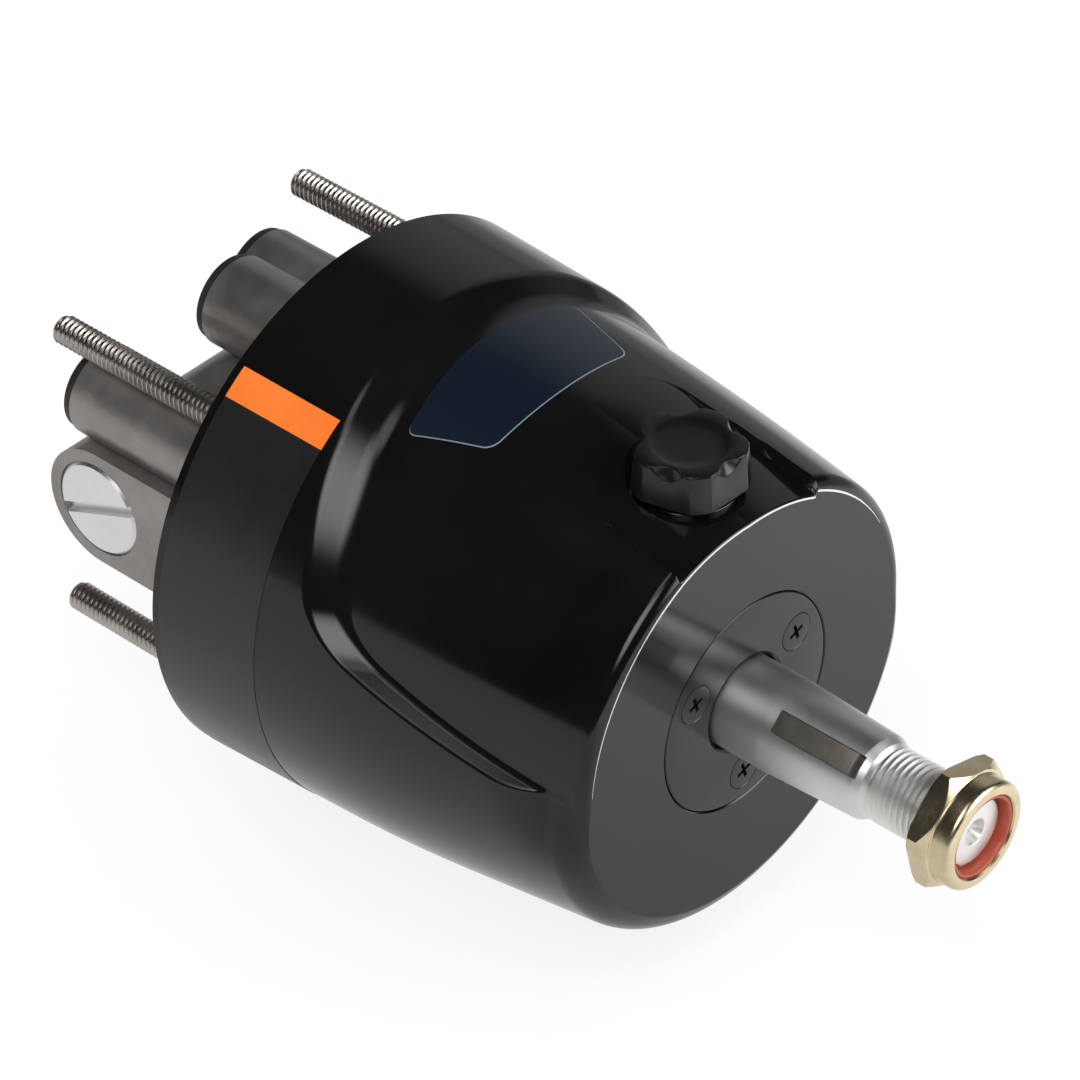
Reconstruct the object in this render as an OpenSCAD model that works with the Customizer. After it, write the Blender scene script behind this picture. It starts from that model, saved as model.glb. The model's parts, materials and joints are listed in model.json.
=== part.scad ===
// Boat steering helm
// The hydraulic pump behind a boat's wheel. The wheel sits on the tapered
// shaft and turns a seven piston swash plate pump. A lock valve in the rear
// casting holds the rudder still when the wheel is let go.
// All sizes in millimetres. Pieces are drawn nose up (z forward along the
// shaft, y up) and laid over by lay(), so the shaft points to -Y, up is +Z
// and the mounting plane is y = 0.

/* [Front housing] */
// Diameter at the mounting plane
drum_d = 120; // [119:0.5:124]
// Mounting plane to front face
front_len = 104; // [103:0.5:108]
// Diameter of the flat front face
face_d = 93; // [90:0.5:94]
// Rounding of the front rim on the lower part
rim_round = 5.5; // [4:0.5:6]
// How far the shoulder leans back at the top, degrees
shoulder_lean = 18; // [15:0.5:20]
// Where the leaning shoulder crosses the shaft axis
shoulder_f = 44.5; // [42:0.25:48]
// Depth of the ramp from the shoulder down to the neck
shoulder_run = 8.5; // [7:0.5:10]
// Height of the side ledge at the shoulder
ledge_up = 16.6; // [12:0.2:20]
// Height of the side ledge at the front rim
ledge_end_up = 2; // [0:0.2:6]
// Fall of the side ledge where it meets the front rim, degrees
ledge_fall = 8; // [4:0.5:12]
// Rounding between ledge and shoulder
ledge_round = 8; // [5:0.5:10]
// Width of the flat on top
pad_w = 40; // [36:1:44]
// Rear edge of the flat on top
pad_f = 62; // [58:0.5:64]
// Thickness of the front wall
front_wall = 7; // [6:0.5:8]
// Diameter of the rear pocket
pocket_d = 111.4; // [111:0.1:112]

/* [Shaft] */
// Shaft diameter
shaft_d = 20;
// Straight length ahead of the front face
journal_len = 11; // [8:0.5:14]
// Length of the taper
taper_len = 23.5; // [20:0.5:26]
// Taper, one in this many on the diameter
taper_rate = 12; // [10:1:16]
// Major diameter of the end thread
thread_d = 15.88; // [14:0.02:16]
// Length from the end of the taper to the tip
tip_len = 23.2; // [22:0.2:26]
// Rear journal diameter
rear_journal_d = 16; // [14:0.5:17]
// Key width
key_w = 4.76; // [4:0.02:5]
// Key length
key_len = 19.5; // [16:0.5:20]
// Direction of the key, degrees from +X
key_turn = 133.4; // [0:0.1:360]

/* [Wheel nut] */
// Nut size across the flats
nut_af = 24.4; // [24:0.1:26]
// Nut height over all
nut_h = 9.2; // [9:0.1:10]
// Diameter of the round collar
collar_d = 23.4; // [22.8:0.1:23.6]
// Outer diameter of the locking insert
insert_d = 18.1; // [17.6:0.1:18.6]
// Shaft end to the front of the nut
tip_inset = 2.5; // [2.2:0.1:2.8]

/* [Front bearing and seal] */
// Bearing outer diameter
bearing_od = 42;
// Bearing width
bearing_w = 12;
// Bearing ball diameter
bearing_ball_d = 6.35; // [6:0.05:6.4]
// Number of bearing balls
bearing_balls = 9; // [7:1:10]
// Width of the shaft seal
seal_w = 7; // [6:0.5:7]
// Seal outer diameter
seal_od = 28; // [27:0.5:29]
// Seal plate diameter
plate_d = 48; // [46:0.5:52]
// Seal plate thickness
plate_t = 2.7; // [2.4:0.1:3]
// Seal plate screw thread diameter
plate_screw_d = 4; // [3.5:0.1:4]
// Radius of the ring of plate screws
plate_screw_ring = 17.4; // [17.2:0.1:18.5]

/* [Pump] */
// Number of pistons
piston_n = 7; // [5:1:7]
// Piston diameter
piston_d = 19; // [16:0.5:20]
// Radius of the ring of pistons
piston_ring = 26; // [25.6:0.1:27]
// Rotor diameter
rotor_d = 78; // [77:0.5:80]
// Rotor length
rotor_len = 30; // [28:0.5:30.5]
// Angle of the swash plate, degrees
swash = 15; // [11:0.5:15]
// Outer diameter of the thrust races
race_d = 72; // [70:0.5:72]
// Thickness of each thrust race
race_t = 5; // [4.5:0.1:5]
// Thrust ball diameter
thrust_ball_d = 8; // [7.6:0.1:8]
// Number of thrust balls
thrust_balls_n = 12; // [9:1:14]
// Port plate thickness
port_plate_t = 4; // [3:0.5:4]
// Arc of each port slot, degrees
slot_arc = 130; // [110:5:140]

/* [Rear casting] */
// Thickness of the flange inside the pocket
flange_t = 13.5; // [13:0.5:14]
// Distance of the flange inside the mounting plane
flange_inset = 0.5; // [0.4:0.1:1]
// Distance of the valve bore behind the mounting plane
valve_back = 34; // [32:0.5:36]
// Radius of the valve barrel
barrel_r = 13.7; // [13.2:0.1:14]
// Length of the valve barrel
barrel_len = 83; // [83:0.5:88]
// Top of the block between the bosses
core_up = 24.4; // [22:0.2:26]
// Depth of the block between the bosses
core_back = 27; // [20:0.5:28]
// Middle boss, sideways
port_a_x = -1; // [-3:0.5:1]
// Middle boss, height
port_a_up = 31; // [30:0.5:32]
// Middle boss, end
port_a_back = 33; // [30:0.5:36]
// Right boss, sideways
port_b_x = 17; // [16:0.5:20]
// Right boss, height
port_b_up = 23.6; // [23:0.2:26]
// Right boss, end
port_b_back = 42.2; // [40:0.2:46]
// Left boss, sideways
port_c_x = -30; // [-32:0.5:-29]
// Left boss, height
port_c_up = 19.7; // [19.5:0.1:21]
// Left boss, end
port_c_back = 42.7; // [40:0.1:46]
// Diameter of the bosses
boss_d = 19.9; // [18:0.1:20.4]
// Port bore diameter
port_bore_d = 14.28; // [13:0.02:15]
// Port bore depth
port_bore_len = 14; // [12:0.5:15]

/* [Studs and screws] */
// Spacing of the square of mounting studs
stud_pitch = 69.2;
// Mounting stud diameter
stud_d = 6.35;
// Length of the studs behind the mounting plane
stud_out = 49.4; // [30:0.2:60]
// Housing screw diameter
case_screw_d = 5; // [4:0.5:5]
// Radius of the ring of housing screws
case_screw_ring = 49; // [48.4:0.1:49.4]

/* [Lock valve] */
// Spool diameter
spool_d = 12; // [11:0.5:13]
// Half length of the spool body
spool_half = 8; // [6:0.5:10]
// Spool travel each way
spool_travel = 2; // [1:0.5:2]
// Hole in the valve seats
seat_hole_d = 6.1; // [5.6:0.1:6.6]
// Poppet diameter
poppet_d = 10; // [9:0.5:11]
// Diameter of the plug body
plug_d = 20; // [19:0.5:20]
// Diameter of the plug head
plug_head_d = 21.8; // [21.4:0.1:22]
// Turn of the screwdriver slot in the plugs, degrees
plug_slot_turn = 23; // [0:1:90]

/* [Filler cap] */
// Cap centre ahead of the mounting plane
cap_f = 88.4; // [86:0.2:89]
// Height of the cap seat above the shaft axis
cap_seat_up = 46.4; // [46:0.1:46.8]
// Diameter over the lobes
cap_d = 24; // [22:0.5:25]
// Height of the knob
cap_h = 9.8; // [8:0.1:12]
// Number of finger hollows
cap_hollows = 6; // [4:1:8]
// Thread diameter of the cap
cap_stem_d = 14; // [12:0.5:14]
// Thread length of the cap
cap_stem_len = 7; // [5:0.5:7]

/* [Clearances] */
// Running gap on radius between turning pieces
run_fit = 0.02; // [0.01:0.01:0.05]
// Gap on radius of sliding pistons, poppets and spool
slide_fit = 0.03; // [0.02:0.01:0.05]
// Gap between flat faces that pass each other
face_gap = 0.1; // [0.05:0.05:0.2]
// Gap on radius of the seal plate and port plate dowels
seat_fit = 0.02; // [0.01:0.01:0.05]

/* [Hidden] */
$fn = 96;
e = 0.01;

// Front housing, derived
drum_r = drum_d / 2;
face_r = face_d / 2;
neck_edge = 1.6;
neck_f = flange_inset + flange_t + 6;
pocket_r = pocket_d / 2;
pad_corner = 8;
pad_drop = 1.4;
pad_slope = 0.169;
cap_spot_r = cap_d / 2 + 1;
cavity_r = pocket_r - 5.7;
inner_front = front_len - front_wall;
// Rear casting, derived
flange_f1 = flange_inset + flange_t;
flange_r = pocket_r - 0.1;
case_oring_r = 1.1;
case_oring_f = flange_f1 - 4;
case_head_r = case_screw_d * 0.85;
case_screw_bite = 12;
case_boss_end = flange_f1 + case_screw_bite + 2;
stud_tap_r = stud_d / 2 - 0.4;
ports = [[port_a_x, port_a_up, port_a_back], [port_b_x, port_b_up, port_b_back],
    [port_c_x, port_c_up, port_c_back]];
port_cap_t = 2;
port_cap_plug = 8;
slot_end_trim = 22.5;
dowel_r = 2;
dowel_ring = race_d / 2 - 3.5;
bush_wall = 3;
bush_f0 = flange_inset + 1.5;
bush_r = rear_journal_d / 2 + bush_wall;
// Shaft, derived
shaft_r = shaft_d / 2;
taper_f = front_len + journal_len;
taper_end_f = taper_f + taper_len;
taper_end_r = shaft_r - taper_len / taper_rate / 2;
thread_r = thread_d / 2;
thread_f = taper_end_f + 2.9;
tip_f = taper_end_f + tip_len;
nut_f1 = tip_f + tip_inset;
nut_f0 = nut_f1 - nut_h;
key_f = taper_f + 2.5;
key_top = shaft_r + 0.4;
key_floor = key_top - key_w + 0.2;
// Nut, derived
nut_corner_r = nut_af / 2 / cos(30);
hex_end = nut_f0 + 4.6;
insert_f = nut_f0 + 5.7;
insert_t = 2.8;
// Front bearing, derived
bearing_r = bearing_od / 2;
plate_f = front_len - plate_t;
seal_f = plate_f - seal_w;
bearing_f = seal_f - bearing_w;
bearing_mid = bearing_f + bearing_w / 2;
ball_ring = (bearing_r + shaft_r) / 2;
ball_r = bearing_ball_d / 2;
ring_gap = 1.8;
bearing_groove = ball_r + 0.05;
shaft_collar_t = 3;
seal_r = seal_od / 2;
plate_r = plate_d / 2;
plate_screw_r = plate_screw_d / 2;
plate_head_r = plate_screw_r * 2;
// Pump, derived
port_plate_f1 = flange_f1 + port_plate_t;
rotor_f0 = port_plate_f1 + face_gap;
rotor_f1 = rotor_f0 + rotor_len;
rotor_r = rotor_d / 2;
rotor_floor = 4;
rotor_hole_r = 4;
piston_r = piston_d / 2;
race_r = race_d / 2;
race_in = 16;
thrust_r = thrust_ball_d / 2;
thrust_groove = thrust_r + 0.06;
race_space = thrust_ball_d - 2;
swash_f = rotor_f1 + race_r * tan(swash) + 0.75;
stack_t = 2 * race_t + race_space;
seat_f = swash_f + stack_t / cos(swash);
dome_r = 14;
dome_f = swash_f - piston_ring * tan(swash) - (dome_r + 0.3) / cos(swash);
piston_f0 = rotor_f0 + rotor_floor + 0.6;
piston_bore_r = 6;
piston_bore_end = dome_f + 7.3;
spring_in = 4.2;
spring_out = 5.6;
pin_r = 2.5;
pin_half = 15;
pin_f = rotor_f1 - pin_r;
clip_t = 1.2;
clip_r = shaft_r + 3;
clip_groove = shaft_r - 0.6;
// Lock valve, derived
spool_r = spool_d / 2;
seat_x = 13;
seat_t = 5;
seat_r = 8;
seat_hole_r = seat_hole_d / 2;
chamber_r = 9;
chamber_end = 28;
poppet_r = poppet_d / 2;
poppet_x = 20.5;
poppet_end = 33;
nose_x = 16.5;
nose_slope = (poppet_r - seat_hole_r + 0.05) / (poppet_x - seat_x - seat_t);
nose_r = seat_hole_r - 0.05 - (seat_x + seat_t - nose_x) * nose_slope;
push_tip = nose_x - spool_travel - 0.2;
valve_spring_r = 3.1;
plug_r = plug_d / 2;
plug_head_r = plug_head_d / 2;
head_x = barrel_len / 2 - 3.5;
plug_cup_end = head_x - 1;
plug_ring_r = 1;
plug_ring_x = head_x - 1.8;
// Filler cap, derived
cap_r = cap_d / 2;
cap_lift = 0.2;
cap_stem_r = cap_stem_d / 2;
cap_ring_r = 1;
cap_ring_mid = cap_stem_r + 0.35 + cap_ring_r;
cap_boss_r = 12;
cap_boss_up = cap_seat_up + cap_lift - cap_stem_len - 0.1;

black = [0.07, 0.07, 0.075];
alloy = [0.66, 0.66, 0.67];
steel = [0.74, 0.74, 0.75];
dark_steel = [0.42, 0.40, 0.38];
zinc = [0.85, 0.76, 0.55];
bronze = [0.72, 0.52, 0.28];
rubber = [0.05, 0.05, 0.05];
red = [0.62, 0.22, 0.16];

// Helpers
module lay() rotate([90, 0, 0]) children();
module from(f) translate([0, 0, f]) children();
module tube(r_out, r_in, h) difference() {
    cylinder(h = h, r = r_out);
    translate([0, 0, -1]) cylinder(h = h + 2, r = r_in);
}
module ring(r_mid, r_cord) rotate_extrude() translate([r_mid, 0]) circle(r = r_cord);
module around(n, radius, start = 0) for (i = [0:n - 1])
    rotate([0, 0, start + i * 360 / n]) translate([radius, 0, 0]) children();
module swash_frame() translate([0, 0, swash_f]) rotate([-swash, 0, 0]) children();
module sideways(x) translate([x, 0, -valve_back]) rotate([0, 90, 0]) children();
module mirror_pair() {
    children();
    mirror([1, 0, 0]) children();
}
module upward() translate([0, 0, cap_f]) rotate([-90, 0, 0]) children();
function arc(cx, cy, r, a0, a1, n) = [for (i = [0:n])
    [cx + r * cos(a0 + (a1 - a0) * i / n), cy + r * sin(a0 + (a1 - a0) * i / n)]];

// Outside of the front housing
function neck_r(f) = let (s = front_len - neck_edge - f)
    face_r + neck_edge + 0.145 * s - 0.0006 * s * s;
function shoulder_at(up) = shoulder_f - up * tan(shoulder_lean);
ledge_f0 = shoulder_at(ledge_up);
ledge_f1 = front_len - 8;
ledge_len = ledge_f1 - ledge_f0;
// The ledge falls fast at the shoulder and slower towards the front
ledge_bend = (ledge_up - ledge_end_up) / ledge_len - tan(ledge_fall);
ledge_start_fall = atan(tan(ledge_fall) + 2 * ledge_bend);
function ledge_at(f) = ledge_end_up + (ledge_f1 - f) * tan(ledge_fall)
    + ledge_bend * (ledge_f1 - f) * (ledge_f1 - f) / ledge_len;
ramp_rise = 1.6;

module wing_turned() rotate_extrude() polygon(concat(
    [[0, 0], [drum_r, 0], [drum_r - 1, front_len / 4], [drum_r - 2, front_len / 2]],
    arc(face_r, front_len - rim_round, rim_round, 0, 90, 8),
    [[0, front_len]]));

module neck_turned() rotate_extrude() polygon(concat(
    [[0, neck_f]],
    [for (i = [0:9]) let (f = neck_f + i * (front_len - 5 * neck_edge - neck_f) / 9) [neck_r(f), f]],
    arc(face_r, front_len - neck_edge, neck_edge, 0, 90, 5),
    [[0, front_len]]));

// Everything behind the leaning shoulder or under the side ledge
module shoulder_block() {
    half = (90 + shoulder_lean + ledge_start_fall) / 2;
    mid = 90 + shoulder_lean - half;
    far = ledge_round / sin(half);
    rotate([0, -90, 0]) linear_extrude(height = drum_d + 20, center = true) polygon(concat(
        [[-5, -drum_d], [-5, drum_d], [shoulder_at(drum_d), drum_d]],
        arc(ledge_f0 + far * cos(mid), ledge_up + far * sin(mid), ledge_round,
            180 + shoulder_lean, 270 - ledge_start_fall, 6),
        [for (i = [3:8]) let (f = ledge_f0 + ledge_len * i / 8) [f, ledge_at(f)]],
        [[ledge_f1 + 20, ledge_end_up - 20 * tan(ledge_fall)], [ledge_f1 + 20, -drum_d]]));
}

// The ramp that drops from the shoulder to the neck
module shoulder_ramp() translate([0, 0, shoulder_f]) rotate([-shoulder_lean, 0, 0])
    translate([0, ramp_rise, -e])
        cylinder(h = shoulder_run, r1 = drum_r + 0.1, r2 = drum_r + 0.1 - shoulder_run);

// Clears the top flat down to its cone
module pad_cut() difference() {
    translate([0, drum_r + 10, 0]) rotate([90, 0, 0]) linear_extrude(height = 40) polygon(concat(
        [[pad_w / 2, front_len + 5], [-pad_w / 2, front_len + 5]],
        arc(-pad_w / 2 + pad_corner, pad_f + pad_corner, pad_corner, 180, 270, 5),
        arc(pad_w / 2 - pad_corner, pad_f + pad_corner, pad_corner, 270, 360, 5)));
    pad_r = neck_r(pad_f) - pad_drop;
    rotate_extrude() polygon([[0, pad_f - 10], [pad_r + 10 * pad_slope, pad_f - 10],
        [pad_r - (front_len + 10 - pad_f) * pad_slope, front_len + 10], [0, front_len + 10]]);
}

module front_housing() color(black) lay() difference() {
    union() {
        difference() {
            union() {
                intersection() {
                    wing_turned();
                    union() {
                        shoulder_block();
                        shoulder_ramp();
                    }
                }
                neck_turned();
            }
            pad_cut();
            // Rear pocket and inside
            rotate_extrude() polygon([[0, -1], [pocket_r, -1], [pocket_r, flange_f1],
                [cavity_r, flange_f1], [cavity_r - 0.4, 45], [cavity_r - 6.4, inner_front],
                [0, inner_front]]);
        }
        // Bearing tower with its slanted race seat
        difference() {
            from(seat_f - race_r * tan(swash) - 1) cylinder(h = inner_front - seat_f
                + race_r * tan(swash) + 2, r = race_r);
            swash_frame() translate([0, 0, stack_t - 40]) cylinder(h = 40, r = race_r * 2);
        }
        // Screw bosses inside the drum
        intersection() {
            around(4, case_screw_ring) from(flange_f1) cylinder(h = case_boss_end - flange_f1, r = 6);
            wing_turned();
        }
        // Filler neck
        intersection() {
            upward() translate([0, 0, cap_boss_up]) cylinder(h = cap_seat_up - cap_boss_up, r = cap_boss_r);
            wing_turned();
        }
        upward() translate([0, 0, cap_seat_up - 5]) cylinder(h = 5, r = cap_spot_r);
    }
    upward() translate([0, 0, cap_seat_up]) cylinder(h = 20, r = cap_spot_r);
    upward() translate([0, 0, cap_boss_up - 1]) cylinder(h = 20, r = cap_stem_r + 0.05);
    from(seat_f - race_r) cylinder(h = seal_f - seat_f + race_r, r = bearing_r);
    from(seal_f - 1) cylinder(h = seal_w + 2, r = seal_r);
    from(plate_f) cylinder(h = plate_t + 1, r = plate_r + seat_fit);
    around(3, plate_screw_ring, 30) from(seal_f + 1.2) cylinder(h = seal_w, r = plate_screw_r);
    around(4, case_screw_ring) from(flange_f1 - 1) cylinder(h = case_screw_bite + 1, r = case_screw_d / 2);
}

module rear_body() color(alloy) lay() difference() {
    union() {
        from(flange_inset) cylinder(h = flange_t, r = flange_r);
        translate([-30, -barrel_r, -core_back]) cube([60, core_up + barrel_r, core_back + 1]);
        translate([-barrel_len / 2, -barrel_r, -valve_back])
            cube([barrel_len, 2 * barrel_r, valve_back + 1]);
        sideways(-barrel_len / 2) cylinder(h = barrel_len, r = barrel_r);
        for (p = ports) translate([p[0], p[1], -p[2]]) cylinder(h = p[2] + 1, r = boss_d / 2);
    }
    port_places() translate([0, 0, -1]) cylinder(h = port_bore_len + 1, r = port_bore_d / 2);
    from(bush_f0) cylinder(h = 20, r = bush_r);
    // Port slots and dowel holes in the face
    from(flange_f1 - 4) port_slots(5);
    for (a = [90, 270]) rotate([0, 0, a]) translate([dowel_ring, 0, flange_f1 - 4])
        cylinder(h = 5, r = dowel_r);
    // Screw holes and stud holes
    around(4, case_screw_ring) {
        from(-1) cylinder(h = 20, r = case_screw_d / 2 + 0.1);
        from(-1) cylinder(h = 1 + flange_inset + case_screw_d, r = case_head_r + 0.15);
    }
    stud_places() from(-1) cylinder(h = flange_f1 + 0.5, r = stud_tap_r);
    // Groove for the case ring
    from(case_oring_f - case_oring_r) tube(flange_r + 1, pocket_r - 2 * case_oring_r, 2 * case_oring_r);
    // Valve bore, stepped from both ends
    sideways(-seat_x - 1) cylinder(h = 2 * seat_x + 2, r = spool_r + slide_fit);
    mirror_pair() {
        sideways(seat_x) cylinder(h = seat_t + 1, r = seat_r);
        sideways(seat_x + seat_t) cylinder(h = chamber_end - seat_x - seat_t, r = chamber_r);
        sideways(chamber_end) cylinder(h = head_x - chamber_end + 1, r = plug_r);
        sideways(head_x) cylinder(h = 10, r = plug_head_r + 0.05);
    }
}

// The ends of the three bosses on the back
module port_places() for (p = ports) translate([p[0], p[1], -p[2]]) children();

module stud_places() for (x = [-1, 1], y = [-1, 1])
    translate([x * stud_pitch / 2, y * stud_pitch / 2, 0]) children();

// Two kidney slots, one each side
module port_slots(h) mirror_pair() {
    half = slot_arc / 2;
    end_x = piston_ring * cos(half);
    end_y = piston_ring * sin(half);
    linear_extrude(height = h) polygon(concat(
        arc(0, 0, piston_ring + rotor_hole_r, -half, half, 20),
        arc(end_x, end_y, rotor_hole_r, half + slot_end_trim, half + 180 - slot_end_trim, 6),
        arc(0, 0, piston_ring - rotor_hole_r, half, -half, 20),
        arc(end_x, -end_y, rotor_hole_r, 180 - half + slot_end_trim, 360 - half - slot_end_trim, 6)));
}

module housing_oring() color(rubber) lay() from(case_oring_f)
    ring(pocket_r - case_oring_r, case_oring_r);

module housing_screws() color(dark_steel) lay() around(4, case_screw_ring) difference() {
    union() {
        from(flange_inset) cylinder(h = case_screw_d, r = case_head_r);
        from(flange_inset + case_screw_d - e) cylinder(h = flange_t - case_screw_d
            + case_screw_bite, r = case_screw_d / 2);
    }
    from(flange_inset - 1) cylinder(h = 1 + case_screw_d / 2, r = case_screw_d * 0.46, $fn = 6);
}

module mounting_studs() color(dark_steel) lay() stud_places() {
    from(-stud_out + 1) cylinder(h = stud_out + flange_inset - 1, r = stud_d / 2);
    from(flange_inset - e) cylinder(h = flange_t - 0.5, r = stud_tap_r);
    from(-stud_out) cylinder(h = 1 + e, r1 = stud_d / 2 - 0.8, r2 = stud_d / 2);
}

module seal_plate() color(black) lay() difference() {
    from(plate_f) cylinder(h = plate_t, r = plate_r);
    from(plate_f - 1) cylinder(h = plate_t + 2, r = shaft_r + 0.4);
    around(3, plate_screw_ring, 30) {
        from(plate_f - 1) cylinder(h = plate_t + 2, r = plate_screw_r);
        from(front_len - plate_screw_r) cylinder(h = plate_screw_r, r1 = plate_screw_r, r2 = plate_head_r);
    }
}

module seal_plate_screws() color(black) lay() around(3, plate_screw_ring, 30) difference() {
    union() {
        from(seal_f + 1.2) cylinder(h = front_len - seal_f - 1.2, r = plate_screw_r);
        from(front_len - plate_screw_r) cylinder(h = plate_screw_r, r1 = plate_screw_r, r2 = plate_head_r);
    }
    // Cross recess
    for (a = [0, 90]) rotate([0, 0, a]) translate([-2.1, -0.45, front_len - 1.3]) cube([4.2, 0.9, 2]);
}

module shaft_seal() color(rubber) lay() from(seal_f) tube(seal_r, shaft_r + run_fit, seal_w);

module bearing_outer_ring() color(steel) lay() difference() {
    from(bearing_f) tube(bearing_r, ball_ring + ring_gap, bearing_w);
    from(bearing_mid) ring(ball_ring, bearing_groove);
}

module bearing_inner_ring() color(steel) lay() difference() {
    from(bearing_f) tube(ball_ring - ring_gap, shaft_r, bearing_w);
    from(bearing_mid) ring(ball_ring, bearing_groove);
}

module bearing_balls_set() color(steel) lay() from(bearing_mid)
    around(bearing_balls, ball_ring) sphere(r = ball_r);

module bearing_cage() color(bronze) lay() difference() {
    from(bearing_mid - ball_r - 0.8) tube(ball_ring + 1.3, ball_ring - 1.3, 2 * ball_r + 1.6);
    from(bearing_mid) around(bearing_balls, ball_ring)
        rotate([0, 90, 0]) cylinder(h = 8, r = ball_r + 0.06, center = true);
}

module wheel_shaft() color(steel) lay() difference() {
    union() {
        from(bush_f0 + 0.5) cylinder(h = flange_f1 - bush_f0, r = rear_journal_d / 2);
        from(flange_f1 + face_gap) cylinder(h = taper_f - flange_f1 - face_gap, r = shaft_r);
        from(bearing_f - shaft_collar_t) cylinder(h = shaft_collar_t, r = shaft_r + 2.5);
        // Taper, rounded shoulder and thread
        rotate_extrude() polygon(concat(
            [[0, taper_f - e], [shaft_r, taper_f - e]],
            arc(taper_end_r - 1.1, taper_end_f, 1.1, 4, 80, 5),
            [[thread_r - 0.2, thread_f - 0.4], [thread_r, thread_f], [thread_r, tip_f - 0.9],
            [thread_r - 0.9, tip_f], [0, tip_f]]));
    }
    // Keyway, a little longer than the key
    rotate([0, 0, key_turn]) translate([key_floor, -key_w / 2, key_f])
        cube([10, key_w, key_len + 1]);
    from(rotor_f1) tube(shaft_r + 1, clip_groove, clip_t);
    from(pin_f) rotate([0, 90, 0]) cylinder(h = 60, r = pin_r, center = true);
    // Centre hole
    from(tip_f - 2.6) cylinder(h = 2.6 + e, r1 = 1.5, r2 = 3);
    from(tip_f - 6) cylinder(h = 5, r = 1.5);
}

module shaft_key() color(dark_steel) lay() rotate([0, 0, key_turn])
    translate([key_floor, -key_w / 2, key_f]) cube([key_top - key_floor, key_w, key_len]);

module wheel_nut() color(zinc) lay() difference() {
    union() {
        intersection() {
            from(nut_f0) linear_extrude(height = nut_h)
                polygon([for (i = [0:5]) nut_corner_r * [cos(45 + 60 * i), sin(45 + 60 * i)]]);
            rotate_extrude() polygon([[0, nut_f0], [nut_corner_r - 1.2, nut_f0],
                [nut_corner_r + 0.1, nut_f0 + 0.6], [nut_corner_r + 0.1, hex_end - 2.2],
                [nut_af / 2 - 0.1, hex_end], [0, hex_end]]);
        }
        rotate_extrude() polygon(concat([[0, hex_end - 1], [collar_d / 2, hex_end - 1]],
            arc(collar_d / 2 - 1.3, nut_f1 - 1.3, 1.3, 0, 90, 5), [[0, nut_f1]]));
    }
    from(nut_f0 - 1) cylinder(h = nut_h + 2, r = thread_r);
    from(nut_f0 - e) cylinder(h = 0.8, r1 = thread_r + 0.8, r2 = thread_r);
    from(insert_f) cylinder(h = 10, r = insert_d / 2);
}

module nut_insert() color(red) lay() from(insert_f) tube(insert_d / 2, thread_r, insert_t);

module fixed_race() color(steel) lay() swash_frame() difference() {
    from(race_t + race_space) tube(race_r, race_in, race_t);
    from(race_t + race_space / 2) ring(piston_ring, thrust_groove);
}

module thrust_race() color(steel) lay() swash_frame() difference() {
    tube(race_r - 0.5, race_in, race_t);
    from(race_t + race_space / 2) ring(piston_ring, thrust_groove);
}

module thrust_balls() color(steel) lay() swash_frame() from(race_t + race_space / 2)
    around(thrust_balls_n, piston_ring) sphere(r = thrust_r);

module thrust_cage() color(bronze) lay() swash_frame() difference() {
    from(race_t + race_space / 2 - 1.5) tube(piston_ring + 5, piston_ring - 5, 3);
    from(race_t + race_space / 2) around(thrust_balls_n, piston_ring) sphere(r = thrust_r + 0.06);
}

module rotor() color(dark_steel) lay() difference() {
    from(rotor_f0) tube(rotor_r, shaft_r + run_fit, rotor_len);
    around(piston_n, piston_ring, 90) {
        from(rotor_f0 - 1) cylinder(h = rotor_floor + 2, r = rotor_hole_r);
        from(rotor_f0 + rotor_floor) cylinder(h = rotor_len, r = piston_r + slide_fit);
    }
    from(pin_f - pin_r - run_fit) translate([-pin_half - 0.3, -pin_r - run_fit, 0])
        cube([2 * pin_half + 0.6, 2 * (pin_r + run_fit), 10]);
}

module pistons() color(steel) lay() around(piston_n, piston_ring, 90) difference() {
    intersection() {
        from(piston_f0) cylinder(h = dome_f + dome_r - piston_f0 + 1, r = piston_r);
        union() {
            from(dome_f) sphere(r = dome_r);
            from(piston_f0 - 1) cylinder(h = dome_f - piston_f0 + 1, r = dome_r);
        }
    }
    from(piston_f0 - 1) cylinder(h = piston_bore_end - piston_f0 + 1, r = piston_bore_r);
}

module piston_springs() color(steel) lay() around(piston_n, piston_ring, 90)
    from(rotor_f0 + rotor_floor) tube(spring_out, spring_in, piston_bore_end - rotor_f0 - rotor_floor);

module drive_pin() color(steel) lay() from(pin_f) rotate([0, 90, 0])
    cylinder(h = 2 * pin_half, r = pin_r, center = true);

module rotor_clip() color(steel) lay() from(rotor_f1) difference() {
    tube(clip_r, clip_groove, clip_t);
    translate([-3, -20, -1]) cube([6, 20, 5]);
}

module port_plate() color(bronze) lay() difference() {
    from(flange_f1) tube(race_r, shaft_r + 0.5, port_plate_t);
    from(flange_f1 - 1) port_slots(port_plate_t + 2);
    for (a = [90, 270]) rotate([0, 0, a]) translate([dowel_ring, 0, flange_f1 - 1])
        cylinder(h = port_plate_t + 2, r = dowel_r);
}

module plate_dowels() color(steel) lay() for (a = [90, 270]) rotate([0, 0, a])
    translate([dowel_ring, 0, flange_f1 - 4]) cylinder(h = port_plate_t + 3, r = dowel_r);

module rear_bush() color(bronze) lay() from(bush_f0)
    tube(bush_r, rear_journal_d / 2 + run_fit, flange_f1 - bush_f0);

module shuttle_spool() color(steel) lay() {
    sideways(-push_tip) cylinder(h = 2 * push_tip, r = 1.4);
    difference() {
        sideways(-spool_half) cylinder(h = 2 * spool_half, r = spool_r);
        // Balancing grooves
        for (x = [-spool_half / 2, 0, spool_half / 2]) sideways(x - 0.3)
            tube(spool_r + 1, spool_r - 0.4, 0.6);
    }
}

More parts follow.
